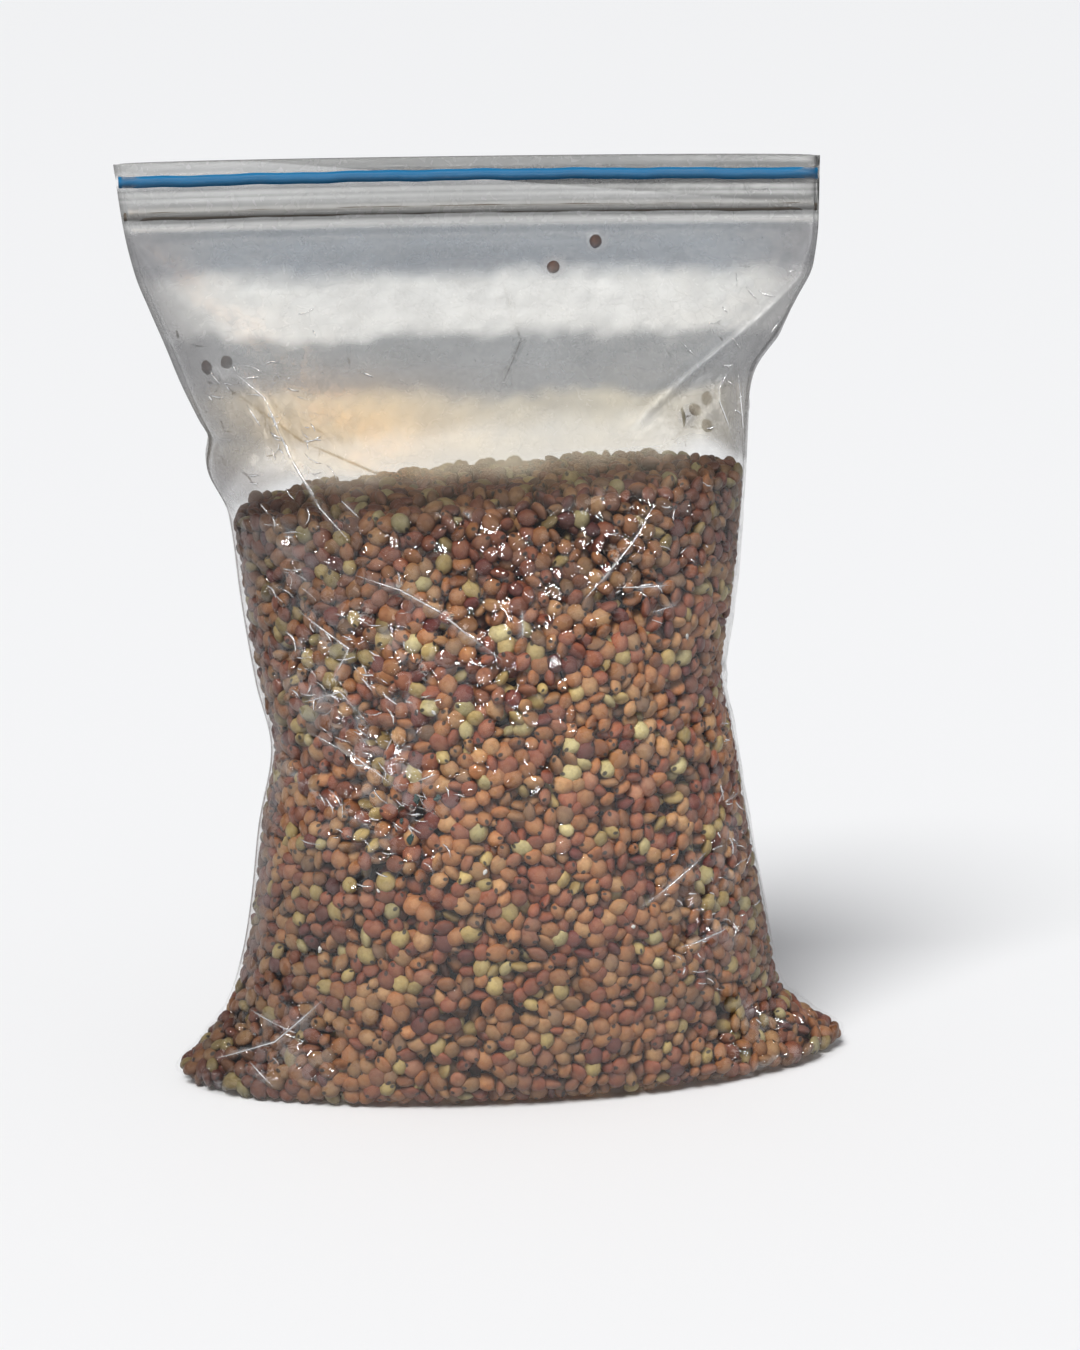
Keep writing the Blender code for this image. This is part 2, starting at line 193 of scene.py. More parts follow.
BACK_CREASES = (
    (((-70, 176), (-50, 160), (-30, 150), (-12, 147)), 1.6, 4.0),
    (((60, 178), (48, 160), (36, 148), (25, 141)), 1.6, 4.0),
    (((-62, 88), (-44, 96), (-24, 92)), 1.5, 4.0),
    (((57, 100), (40, 92), (22, 96), (8, 90)), 1.5, 4.0),
    (((-20, 128), (-6, 118), (4, 104)), 1.0, 3.0),
    (((30, 126), (22, 112)), 0.9, 2.6),
    (((-40, 60), (-28, 48), (-30, 34)), 1.1, 3.4),
    (((34, 66), (26, 50), (38, 34)), 1.1, 3.4),
    (((-82, 8), (-66, 16), (-52, 30)), 1.3, 3.5),
    (((84, 8), (66, 16), (52, 28)), 1.3, 3.5),
    (((-2, 205), (6, 186), (2, 172)), 0.9, 3.5),
)
# Where the small facets are strongest: x, z, spread along x, spread along z, strength
FRONT_CRUMPLE = (
    (-46, 108, 22, 26, 1.0), (-40, 78, 18, 16, 0.8), (24, 138, 16, 16, 0.28),
    (-66, 172, 16, 24, 0.9), (62, 190, 22, 24, 0.8), (-72, 14, 20, 16, 0.9),
    (70, 12, 22, 16, 0.9), (54, 90, 10, 40, 0.6), (44, 50, 18, 20, 0.5), (-64, 130, 8, 30, 0.6),
)
BACK_CRUMPLE = (
    (-30, 110, 26, 30, 0.9), (32, 84, 24, 26, 0.8), (-66, 170, 18, 22, 0.9),
    (58, 176, 18, 24, 0.8), (-72, 14, 20, 16, 0.9), (70, 12, 22, 16, 0.9), (0, 40, 30, 20, 0.4),
)


def facet_field(spots, size, seed):
    """A crumpled height, 0 to 1, at an array of places in millimetres: random heights on
    scattered points, joined by flat triangles of about that size."""
    rng = random.Random(seed)
    corners, heights = [], []
    low, high = spots.min(axis=0) - 2 * size, spots.max(axis=0) + 2 * size
    for row in range(int((high[1] - low[1]) / size)):
        for column in range(int((high[0] - low[0]) / size)):
            jitter = (rng.uniform(0, 1), rng.uniform(0, 1))
            corners.append(Vector((low[0] + (column + jitter[0]) * size,
                                   low[1] + (row + jitter[1]) * size)))
            heights.append(rng.uniform(0, 1) ** 1.4)
    points, _, triangles, origins = delaunay_2d_cdt(corners, [], [], 0, 1e-6)[:4]
    field = np.zeros(len(spots))
    for triangle in triangles:
        a, b, c = (np.array(points[k]) for k in triangle)
        ha, hb, hc = (heights[origins[k][0]] for k in triangle)
        lowest = np.minimum(np.minimum(a, b), c)
        highest = np.maximum(np.maximum(a, b), c)
        inside = np.where(((spots >= lowest) & (spots <= highest)).all(axis=1))[0]
        if not len(inside):
            continue
        area = (b[0] - a[0]) * (c[1] - a[1]) - (c[0] - a[0]) * (b[1] - a[1])
        p = spots[inside] - a
        wb = (p[:, 0] * (c[1] - a[1]) - p[:, 1] * (c[0] - a[0])) / area
        wc = (p[:, 1] * (b[0] - a[0]) - p[:, 0] * (b[1] - a[1])) / area
        hit = (wb >= -1e-6) & (wc >= -1e-6) & (wb + wc <= 1 + 1e-6)
        field[inside[hit]] = (ha * (1 - wb - wc) + hb * wb + hc * wc)[hit]
    return field


def crease_height(spots, route, height, width):
    """A ridge along a route: sharp at its top and fading towards both ends."""
    lift = np.zeros(len(spots))
    for number, (start, end) in enumerate(zip(route, route[1:])):
        start, end = np.array(start, float), np.array(end, float)
        along = end - start
        t = np.clip(((spots - start) @ along) / (along @ along), 0, 1)
        distance = np.linalg.norm(spots - start - t[:, None] * along, axis=1)
        place = (number + t) / (len(route) - 1)
        fade = np.clip(np.minimum(place, 1 - place) * 5, 0.15, 1)
        ridge = np.clip(1 - distance / (0.72 * width), 0, 1)
        lift = np.maximum(lift, 0.8 * height * fade * ridge ** 1.2)
    return lift


def crushed(spots, patches):
    """How strongly the film is crumpled at places (x, z) in mm, up to 1."""
    strength = np.full(len(spots), 0.16)
    for x, z, wide, tall, amount in patches:
        strength += amount * near(spots[:, 0], x, wide) * near(spots[:, 1], z, tall)
    return np.minimum(strength, 1.0)


def crumple(spots, face):
    """How far the film stands off its resting shape, in metres, at places (x, z) in mm."""
    creases, patches = (
        (FRONT_CREASES, FRONT_CRUMPLE) if face < 0 else (BACK_CREASES, BACK_CRUMPLE))
    strength = crushed(spots, patches)
    lift = strength * (0.9 * facet_field(spots, 17.0, 3 + face)
                       + 0.75 * facet_field(spots, 5.5, 13 + face))
    for route, height, width in creases:
        lift = np.maximum(lift, lift * 0.4 + crease_height(spots, route, height, width))
    at_rim = np.clip(spots[:, 1] / 6, 0.0, 1)
    at_lips = np.clip((LIP_FOOT / MM - spots[:, 1]) / 10, 0, 1)
    return lift * MM * at_rim * at_lips


def film_grid(columns, heights, folds, face):
    """Resting film points on a grid: rows run from the bottom's middle fold to the top."""
    across = np.linspace(0, 1, columns)
    grid = np.broadcast_to(across, (len(heights), columns))
    return film_surface(grid, np.broadcast_to(heights[:, None], grid.shape),
                        np.broadcast_to(folds[:, None], grid.shape), face)


def sheet_mesh(bm, points, face):
    """One face of the bag: a grid of the mesh builder's own, moved onto the points."""
    rows, columns = points.shape[:2]
    made = bmesh.ops.create_grid(bm, x_segments=columns - 1, y_segments=rows - 1, size=0.5)
    for vert in made["verts"]:
        column = round((vert.co.x + 0.5) * (columns - 1))
        row = round((vert.co.y + 0.5) * (rows - 1))
        vert.co = Vector(points[row, column])
    if face > 0:
        faces = {f for vert in made["verts"] for f in vert.link_faces}
        bmesh.ops.reverse_faces(bm, faces=list(faces))


def film_rows(bottom, heights):
    """Heights and folds of the rows: some under the base, then one at each height."""
    return (np.concatenate((np.zeros(bottom), heights)),
            np.concatenate((np.linspace(0, 1, bottom, endpoint=False), np.ones(len(heights)))))


def plain_bag(columns, bottom, heights):
    """The resting film as one mesh, without its crumples."""
    bm = bmesh.new()
    rows = film_rows(bottom, heights)
    for face in (-1, 1):
        sheet_mesh(bm, film_grid(columns, *rows, face), face)
    bmesh.ops.remove_doubles(bm, verts=bm.verts, dist=MERGE)
    return bm


film_heights, film_folds = film_rows(BOTTOM_ROWS, np.concatenate((
    np.linspace(0, LIP_FOOT, BODY_ROWS, endpoint=False),
    np.linspace(LIP_FOOT, BAG_HEIGHT, LIP_ROWS),
)))
bm = bmesh.new()
for face in (-1, 1):
    points = film_grid(COLUMNS, film_heights, film_folds, face)
    normals = np.cross(np.gradient(points, axis=1), np.gradient(points, axis=0))
    normals /= np.linalg.norm(normals, axis=-1, keepdims=True) + 1e-12
    normals *= -face
    spots = points[:, :, (0, 2)].reshape(-1, 2) / MM
    lift = crumple(spots, face).reshape(points.shape[:2])
    across = np.linspace(0, 1, COLUMNS)
    lift *= np.clip(np.minimum(across, 1 - across) * 22, 0, 1)[None, :]
    sheet_mesh(bm, points + normals * lift[:, :, None], face)
bmesh.ops.remove_doubles(bm, verts=bm.verts, dist=MERGE)
rim = [edge for edge in bm.edges if edge.is_boundary]
bmesh.ops.holes_fill(bm, edges=rim, sides=0)


def finished(name, bm, material, slot, *nodes):
    """Make a bmesh one piece of the bag, which rides with it and stands for CAD nodes."""
    mesh = bpy.data.meshes.new(name)
    bm.to_mesh(mesh)
    bm.free()
    return dressed(name, mesh, material, slot, *nodes)


def dressed(name, mesh, material, slot, *nodes):
    """Give a mesh its finish and its place on the bag."""
    mesh.materials.clear()
    mesh.materials.append(material)
    mesh.shade_smooth()
    piece = bpy.data.objects.new(name, mesh)
    bpy.context.collection.objects.link(piece)
    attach(piece, "root")
    if nodes:
        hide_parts(*nodes)
    return piece


class Wire:
    """A value inside a finish. Python's operators on it add the shader's own maths."""

    def __init__(self, tree, socket):
        self.tree, self.socket = tree, socket

    def maths(self, operation, *values):
        """Add one maths node and return what it gives."""
        node = self.tree.nodes.new("ShaderNodeMath")
        node.operation = operation
        for slot, value in zip(node.inputs, values):
            connect(self.tree, slot, value)
        return Wire(self.tree, node.outputs[0])

    def __add__(self, other):
        return self.maths("ADD", self, other)

    def __sub__(self, other):
        return self.maths("SUBTRACT", self, other)

    def __rsub__(self, other):
        return self.maths("SUBTRACT", other, self)

    def __mul__(self, other):
        return self.maths("MULTIPLY", self, other)

    def __pow__(self, other):
        return self.maths("POWER", self, other)

    def step(self, low, high):
        """0 below low and 1 above high, with a smooth change between."""
        node = self.tree.nodes.new("ShaderNodeMapRange")
        node.interpolation_type = "SMOOTHSTEP"
        for slot, value in zip(("Value", "From Min", "From Max"), (self, low, high)):
            connect(self.tree, node.inputs[slot], value)
        return Wire(self.tree, node.outputs["Result"])

    __radd__ = __add__
    __rmul__ = __mul__


def connect(tree, slot, value):
    """Link a wire to a socket, or set the socket to a plain value."""
    if isinstance(value, Wire):
        tree.links.new(value.socket, slot)
    else:
        slot.default_value = value


class Finish:
    """A material built round one Principled shader."""

    def __init__(self, name, **constants):
        self.material = bpy.data.materials.new(name)
        self.material.use_nodes = True
        self.tree = self.material.node_tree
        self.shader = self.tree.nodes["Principled BSDF"]
        for socket, value in constants.items():
            self.shader.inputs[socket.replace("_", " ")].default_value = value

    def node(self, kind, settings=None, output=0, **inputs):
        """Add a shader node with its settings and inputs, and return one of its outputs."""
        node = self.tree.nodes.new("ShaderNode" + kind)
        for key, value in (settings or {}).items():
            setattr(node, key, value)
        for slot, value in inputs.items():
            connect(self.tree, node.inputs[slot.replace("_", " ")], value)
        return Wire(self.tree, node.outputs[output])

    def place(self):
        """The object's own coordinates, in metres."""
        return self.node("TexCoord", output="Object")

    def noise(self, scale, detail=2.0, **more):
        """Noise over the object's own coordinates, or over those that are given."""
        more.setdefault("Vector", self.place())
        return self.node("TexNoise", Scale=scale, Detail=detail, **more)

    def attribute(self, name, output="Fac"):
        """A value that the mesh carries at each point."""
        return self.node("Attribute", {"attribute_name": name}, output)

    def blend(self, factor, low, high):
        """A colour between two, each a tuple or a wire."""
        node = self.tree.nodes.new("ShaderNodeMix")
        node.data_type = "RGBA"
        for slot, value in zip((0, 6, 7), (factor, low, high)):
            value = (*value, 1.0) if isinstance(value, tuple) and len(value) == 3 else value
            connect(self.tree, node.inputs[slot], value)
        return Wire(self.tree, node.outputs[2])

    def bump(self, height, strength, distance):
        """A surface direction from a height."""
        return self.node("Bump", Height=height, Strength=strength, Distance=distance)

    def feed(self, **values):
        """Set or link inputs of the Principled shader."""
        for socket, value in values.items():
            connect(self.tree, self.shader.inputs[socket.replace("_", " ")], value)


# The film's finish: clear polyethylene. Where grain presses on it, it is clear and shows
# small hard glints. The empty part above is milky, rubbed and finely scratched.
GRAIN_LINE = 0.1525        # height of the grain against the film, at the middle
GRAIN_TILT = 0.065         # its rise towards the right


def points_of(mesh):
    """A mesh's points as an array of rows of three."""
    points = np.empty(len(mesh.vertices) * 3)
    mesh.vertices.foreach_get("co", points)
    return points.reshape(-1, 3)


film_mesh = bpy.data.meshes.new("bag_film_dressed")
bm.to_mesh(film_mesh)
bm.free()
places = points_of(film_mesh)


def clouds(points, size, seed):
    """Soft patches, -1 to 1, of about this size in metres."""
    waves = np.random.default_rng(seed)
    total = np.zeros(len(points))
    for _ in range(14):
        direction = waves.normal(size=3)
        direction /= np.linalg.norm(direction)
        wave = direction * waves.uniform(0.6, 1.6) * 2 * math.pi / size
        total += np.sin(points @ wave + waves.uniform(0, 2 * math.pi))
    return np.clip(total / 5, -1, 1)


# Tones of the lips from the foot up, painted light and shade of the ribs pressed into them: height and
# lightness
LIP_RIB_SHADING = np.array((
    (0.2140, 0.42), (0.2182, 0.42), (0.2188, 0.85), (0.2199, 0.80), (0.2206, 0.20),
    (0.2211, 0.75), (0.2216, 0.30), (0.2228, 0.30), (0.2234, 0.60), (0.2241, 0.38),
    (0.2252, 0.36), (0.2259, 0.80), (0.2265, 0.22), (0.2271, 0.70), (0.2277, 0.72),
    (0.2282, 0.20), (0.2288, 0.80), (0.2294, 0.62), (0.2299, 0.35), (0.2317, 0.40),
    (0.2322, 0.90), (0.2328, 0.60), (0.2338, 0.52),
))
CLINGING = [f"stray_grain_{number}" for number in range(1, 8)] + ["stray_husk_1", "stray_husk_2"]

# The bands across the empty part, from the grain up: height, then colour. They stand for a
# room reflected in it, and are painted, so they stay where they are from every side.
BANDS = np.array((
    (0.1500, 0.30, 0.24, 0.20), (0.1590, 0.42, 0.37, 0.30), (0.1620, 0.56, 0.50, 0.37),
    (0.1780, 0.58, 0.52, 0.39), (0.1812, 0.21, 0.22, 0.22), (0.1915, 0.21, 0.22, 0.22),
    (0.1945, 0.84, 0.83, 0.78), (0.2050, 0.80, 0.80, 0.76), (0.2095, 0.19, 0.22, 0.25),
    (0.2180, 0.19, 0.22, 0.25),
))
WARM_REFLECTION_PATCH = (-0.046, 0.173, 0.024, 0.0085)      # a painted warm reflection: middle along x, height, spreads
WARM_REFLECTION_TINT = np.array((0.22, 0.04, -0.12))
SIDE_SHADE_TINT = np.array((0.16, 0.145, 0.145))  # painted shade on the empty film beside the welds
WELD_SHADE_TINT = np.array((0.10, 0.045, 0.030))  # painted shade on the film that turns the corner beside the grain
LIP_TINT = np.array((0.86, 0.86, 0.83))
CLEAR = 0.05               # how milky wet film is
WET_REACH = 0.0034         # how far round a stray the film is wet
WET_EDGE = 0.0014

left, right = outline(np.clip(places[:, 2], 0, BAG_HEIGHT))[:2]
across = np.clip((places[:, 0] - left) / (right - left), 0, 1)
unbowed = places[:, 2] + mouth_bow(across)
line = GRAIN_LINE + GRAIN_TILT * places[:, 0] + 0.0012 * clouds(places, 0.02, 1)
over = places[:, 2] - line
empty = np.clip((over + 0.001) / 0.0035, 0, 1)
at_side = np.clip(1 - np.minimum(across, 1 - across) / 0.13, 0, 1)
thick = np.clip((over - 0.0065 * (1 - at_side)) / (0.0075 - 0.0045 * at_side), 0, 1)
thick = thick * thick * (3 - 2 * thick)
at_lips = np.clip((unbowed - LIP_FOOT + 0.001) / 0.002, 0, 1)
patches = 0.5 * clouds(places, 0.018, 2) + 0.5 * clouds(places, 0.005, 3)
at_blue = near(unbowed, UPPER_STRIP, 0.0016)
milk = 0.055 + 0.05 * empty + thick * (0.46 + 0.06 * patches) + 0.06 * at_lips - 0.66 * at_blue
banded = places[:, 2] + 0.0016 * clouds(places, 0.05, 6) + 0.0008 * clouds(places, 0.008, 7)
tint = np.stack([np.interp(banded, BANDS[:, 0], BANDS[:, k]) for k in (1, 2, 3)], axis=1)
# A painted warm reflection on the empty film, left of the middle
warm_reflection = near(places[:, 0], WARM_REFLECTION_PATCH[0], WARM_REFLECTION_PATCH[2]) * near(places[:, 2], WARM_REFLECTION_PATCH[1], WARM_REFLECTION_PATCH[3])
tint += warm_reflection[:, None] * WARM_REFLECTION_TINT
tint *= 1 + 0.13 * patches[:, None]
# Painted shade: the empty film darkens towards the welds, where the bag turns away
tint += at_side[:, None] * (SIDE_SHADE_TINT - tint) * 0.8
# Painted light and shade of the ribs across the lips
lip = (0.20 + 0.62 * np.interp(unbowed, LIP_RIB_SHADING[:, 0], LIP_RIB_SHADING[:, 1]))[:, None]
tint += at_lips[:, None] * (lip * LIP_TINT - tint)
tint += (1 - empty)[:, None] * (0.92 - tint)
strength = np.where(places[:, 1] < 0, crushed(places[:, (0, 2)] / MM, FRONT_CRUMPLE),
                    crushed(places[:, (0, 2)] / MM, BACK_CRUMPLE)) * (1 - at_lips)
filled = 1 - empty
milk += 0.17 * filled * (1 - at_side) * np.clip(strength * 1.6 - 0.6, 0, 1) * np.clip(patches * 2, 0, 1)
# Painted shade: where the film turns the corner beside the grain it is darker and milkier
at_weld = filled * np.clip(1 - np.minimum(across, 1 - across) / 0.024, 0, 1)
at_weld *= np.clip((places[:, 2] - 0.022) / 0.012, 0, 1)
milk += 0.34 * at_weld
tint += at_weld[:, None] * (WELD_SHADE_TINT - tint) * 0.95
spots = places[:, (0, 2)] / MM
# White lines along the creases: partly the film's own whitening where it creases, partly painted glint
white = np.zeros(len(places))
for face, creases in ((-1, FRONT_CREASES), (1, BACK_CREASES)):
    here = np.where((places[:, 1] * face > 0) & (places[:, 2] < LIP_FOOT))[0]
    for route, _, _ in creases:
        white[here] = np.maximum(white[here], crease_height(spots[here], route, 1.0, 1.5))
# What clings to the film wets it, so the film is clear there
for node in CLINGING:
    low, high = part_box(node)
    middle = np.array((low + high) / 2)
    away = np.linalg.norm((places - middle) * np.array((1, 0.6, 1)), axis=1)
    milk -= (milk - CLEAR) * np.clip((WET_REACH - away) / WET_EDGE, 0, 1) * 0.9
milk = np.clip(milk + 0.30 * white, 0.03, 0.95)
tint += white[:, None] * 0.35 * empty[:, None]
for name, values in (("milk", milk), ("empty", empty), ("crushed", strength)):
    film_mesh.attributes.new(name, "FLOAT", "POINT").data.foreach_set("value", values)
tint = np.concatenate((np.clip(tint, 0.02, 0.95), np.ones((len(places), 1))), axis=1)
film_mesh.attributes.new("tint", "FLOAT_COLOR", "POINT").data.foreach_set("color", tint.ravel())

film_finish = Finish("clear_film", IOR=1.5, Specular_IOR_Level=0.8)
spot = film_finish.place()
empty = film_finish.attribute("empty")
wrinkle = film_finish.noise(330.0, Distortion=0.8)


def vector_maths(operation, output, *values):
    """Add one vector maths node to the film's finish and return what it gives."""
    wire = film_finish.node("VectorMath", {"operation": operation}, output)
    for slot, value in zip(wire.socket.node.inputs, values):
        connect(film_finish.tree, slot, value)
    return wire


def facets(scale, slope):
    """Small flat facets, each tilted its own way, as a height in metres."""
    tilt = film_finish.node("TexVoronoi", {}, "Color", Vector=spot, Scale=scale)
    middle = Wire(film_finish.tree, tilt.socket.node.outputs["Position"])
    away = vector_maths("SUBTRACT", "Vector", spot, middle)
    centred = vector_maths("SUBTRACT", "Vector", tilt, (0.5, 0.5, 0.5))
    return vector_maths("DOT_PRODUCT", "Value", away, centred) * slope


crumpled = facets(330.0, 1.2) + facets(130.0, 0.6) + wrinkle * 0.0003
relief = crumpled * film_finish.attribute("crushed") * (1 - empty * 0.85)
relief = relief + wrinkle * (0.00011 - empty * 0.00007)
film_finish.feed(
    Alpha=film_finish.attribute("milk"),
    Base_Color=film_finish.attribute("tint", "Color"),
    Metallic=1 - empty * 0.88,
    Roughness=0.06 + empty * (0.12 + wrinkle * 0.16),
    Normal=film_finish.bump(relief, 1.0, 1.0),
)

dressed("bag_film_dressed", film_mesh, film_finish.material, "film", "bag_film")

# Sharp folds. Where the film is pinched it stands up in thin creases, which catch the light
# as bright lines: the long ones above, and many short ones where it is most crumpled.
FOLD_RISE = 0.00026

film_tree = BVHTree.FromPolygons([tuple(place) for place in places],
                                 [tuple(face.vertices) for face in film_mesh.polygons])


def on_film(x, z, face):
    """The film's outer surface and outward direction at a place in millimetres."""
    place, normal, _, _ = film_tree.ray_cast(Vector((x, face * 120, z)) * MM, Vector((0, -face, 0)))
    if place is None:
        return None
    return place, normal if normal.y * face > 0 else -normal


def fold(bm, route, width, face):
    """A thin tent of film along a route of places (x, z), tapering to both ends."""
    stations = []
    for start, end in zip(route, route[1:]):
        steps = max(2, int(math.dist(start, end) / 1.2))
        stations += [(start[0] + (end[0] - start[0]) * k / steps,
                      start[1] + (end[1] - start[1]) * k / steps) for k in range(steps)]
    stations.append(route[-1])
    found = [on_film(x, z, face) for x, z in stations]
    if len(found) < 3 or any(item is None or abs(item[1].y) < 0.45 for item in found):
        return
    rings = []
    for number, (place, normal) in enumerate(found):
        before, after = found[max(number - 1, 0)][0], found[min(number + 1, len(found) - 1)][0]
        side = normal.cross(after - before).normalized()
        swell = math.sin(math.pi * (number + 0.4) / (len(found) - 0.2)) ** 0.6
        half = 0.5 * width * swell
        rise = FOLD_RISE * (0.4 + swell)
        rings.append([bm.verts.new(place + side * half - normal * 0.00005),
                      bm.verts.new(place + side * half * 0.2 + normal * rise),
                      bm.verts.new(place - side * half - normal * 0.00005)])
    for here, there in zip(rings, rings[1:]):
        for k in range(3):
            after = (k + 1) % 3
            bm.faces.new((here[k], here[after], there[after], there[k]))
    bm.faces.new(rings[0])
    bm.faces.new(rings[-1])


bm = bmesh.new()
rng = random.Random(31)
for face, creases, patches in ((-1, FRONT_CREASES, FRONT_CRUMPLE), (1, BACK_CREASES, BACK_CRUMPLE)):
    for route, height, _ in creases:
        fold(bm, route, 0.00030 + 0.00025 * height, face)
    for x, z, wide, tall, amount in patches:
        for _ in range(int((52 if z > 30 else 5) * amount * math.sqrt(wide * tall) / 18)):
            start = Vector((rng.gauss(x, wide * 0.55), rng.gauss(z, tall * 0.55)))
            if not 3 < start.y < 210:
                continue
            bearing = rng.gauss(-0.55, 0.55)
            bend = rng.uniform(-0.5, 0.5)
            route = [tuple(start)]
            for _ in range(rng.randint(1, 3)):
                step = rng.uniform(0.9, 1.9)
                start = start + Vector((math.cos(bearing), math.sin(bearing))) * step
                bearing += bend
                route.append(tuple(start))
            fold(bm, route, rng.uniform(0.00030, 0.00065), face)
bmesh.ops.recalc_face_normals(bm, faces=bm.faces)
# The folds are white: partly the film's own whitening where it creases, partly painted glint. Noise
# patches decide where they show.
fold_finish = Finish("creased_film", Roughness=0.18, IOR=1.5, Metallic=0.75)
fold_patches = fold_finish.noise(260.0)
fold_finish.feed(Base_Color=(1.0, 1.0, 1.0, 1.0), Alpha=0.10 + fold_patches.step(0.36, 0.60) * 0.80)
finished("film_folds", bm, fold_finish.material, "film")

# The closure. Each of the two press-to-close strips is a pair: a rib with an arrow head,
# extruded on the inside of the front lip, and a channel with two hooks on the back lip. The
# upper rib is blue and the lower one smoke-brown. The welding bar crushed their ends flat.
STRIP_STEPS = 72
CRUSHED = 0.006            # length of the crushed end

# Half profiles: depth from the lip's inside, then height, in millimetres
RIB = ((0.0, 1.15), (0.35, 1.12), (0.45, 0.95), (0.45, 0.42), (0.75, 0.34), (0.95, 0.38),
       (1.00, 0.78), (1.25, 0.66), (1.60, 0.28))
CHANNEL = ((0.0, 1.45), (0.30, 1.42), (1.60, 1.36), (1.78, 1.20), (1.72, 0.80), (1.52, 0.72),
           (1.40, 0.86), (1.30, 1.06), (0.50, 1.08), (0.40, 0.90))


def strip(name, half_profile, height, tall, face, material, node):
    """One strip: its profile drawn from weld to weld along the bowed mouth."""
    profile = [(deep, tall * up) for deep, up in half_profile]
    profile += [(deep, -up) for deep, up in reversed(profile)]
    left, right = outline(np.array([height]))[:2]
    wall = LIP_HALF + STRIP_SWELL - 0.0001
    bm = bmesh.new()
    rings = []
    for step in range(STRIP_STEPS + 1):
        across = step / STRIP_STEPS
        x = left[0] + 0.0006 + (right[0] - left[0] - 0.0012) * across
        end = min(across, 1 - across) * (right[0] - left[0])
        open_share = min(max(end / CRUSHED, 0.0), 1.0)
        ease = 0.12 + 0.88 * open_share ** 2 * (3 - 2 * open_share)
        wave = 0.00010 * math.sin(41 * across) + 0.00007 * math.sin(97 * across + 2)
        z = height - mouth_bow(across) + wave
        foot = face * (0.0002 + (wall - 0.0002) * ease)
        rings.append([bm.verts.new((x, foot - face * deep * MM * ease, z + up * MM))
                      for deep, up in profile])
    for here, there in zip(rings, rings[1:]):
        for k in range(len(profile)):
            after = (k + 1) % len(profile)
            bm.faces.new((here[k], there[k], there[after], here[after]))
    bm.faces.new(rings[0])
    bm.faces.new(rings[-1])
    bmesh.ops.recalc_face_normals(bm, faces=bm.faces)
    return finished(name, bm, material, SLOTS[name], node)


SLOTS = {"blue_rib": "zip_blue", "smoke_rib": "zip_smoke",
         "upper_channel": "zip_clear", "lower_channel": "zip_clear"}
blue_finish = Finish("blue_polyethylene", Roughness=0.32, IOR=1.5)
drag = blue_finish.noise(60.0)
blue_finish.feed(Base_Color=blue_finish.blend(drag, (0.0, 0.135, 0.31), (0.0, 0.180, 0.40)))
smoke_finish = Finish("smoke_polyethylene", Roughness=0.35, IOR=1.5)
smoke_finish.feed(Base_Color=(0.16, 0.13, 0.10, 1.0), Alpha=0.75)
clear_finish = Finish("clear_polyethylene", Roughness=0.30, IOR=1.5)
clear_finish.feed(Base_Color=(0.70, 0.70, 0.68, 1.0), Alpha=0.30)
strip("blue_rib", RIB, UPPER_STRIP, 1.22, -1, blue_finish.material, "zip_rib_upper")
strip("smoke_rib", RIB, LOWER_STRIP, 0.83, -1, smoke_finish.material, "zip_rib_lower")
strip("upper_channel", CHANNEL, UPPER_STRIP + 0.0002, 1.0, 1, clear_finish.material,
      "zip_channel_upper")
strip("lower_channel", CHANNEL, LOWER_STRIP, 1.0, 1, clear_finish.material, "zip_channel_lower")

# The kernels. A sorghum kernel is a blunt drop, a little flattened, with a dark scar at its
# narrow end where it sat in the head, and a pale oval germ on one flat side. Those that
# touch the film or the air are modelled, with a layer or two behind them, round a dark core.
KERNEL_LONG, KERNEL_WIDE, KERNEL_THICK = 0.0041, 0.0036, 0.0031
KERNEL_SPACING = 0.0036    # between the middles of two that touch
LAYER_DEPTH = 0.0082       # how deep under the surface kernels are modelled
FILM_CLEAR = 0.0002        # between the resting film and a kernel's skin
TOUCHING = 0.0032          # a kernel whose middle is this near the film lies against it
IN_SIGHT = 0.0036          # kernels whose middle is deeper than this have a plainer shape
POURED = 0.63              # share of the layer's space that kernels take
HEAP_CROWN = 0.004         # how much higher the heap is at its middle
BACK_FALL = 0.05           # its fall towards the back, in metres for each metre
SWEEPS = 48                # how often the packing pushes overlapping kernels apart


def depths(tree, points):
    """How deep points lie under the film and under the heap's top, both negative outside,
    and the direction from each point out to the film."""
    film_depth = np.empty(len(points))
    outward = np.empty((len(points), 3))
    for number, point in enumerate(points):
        place, _, _, distance = tree.find_nearest(Vector(point))
        film_depth[number] = distance
        outward[number] = (np.array(place) - point) / max(distance, 1e-9)
    left, right, front, back, sharp = outline(np.clip(points[:, 2], 0, BAG_HEIGHT))
    turn = np.clip((points[:, 0] - left) / (right - left), 0, 1)
    reach = (0.5 - np.abs(turn - 0.5)) * 2
    reach = np.sqrt(1 - (1 - reach) ** 2) ** sharp * np.where(points[:, 1] < 0, front, back)
    outside = (np.abs(points[:, 1]) > reach) | (points[:, 2] < 0)
    film_depth[outside] *= -1
    outward[outside] *= -1
    top = top_height(points)
    return film_depth, top - points[:, 2], outward


def top_height(points):
    """The heap's top over or under each point: tilted, domed and lumpy."""
    crown = 1 - ((points[:, 0] + 0.006) / 0.066) ** 2
    top = GRAIN_LINE + GRAIN_TILT * points[:, 0] - BACK_FALL * np.maximum(points[:, 1], 0)
    top += HEAP_CROWN * crown * (1 - (points[:, 1] / 0.044) ** 2)
    ground = points * np.array((1, 1, 0))
    return top + 0.0013 * clouds(ground, 0.022, 9) + 0.0009 * clouds(ground, 0.009, 10)


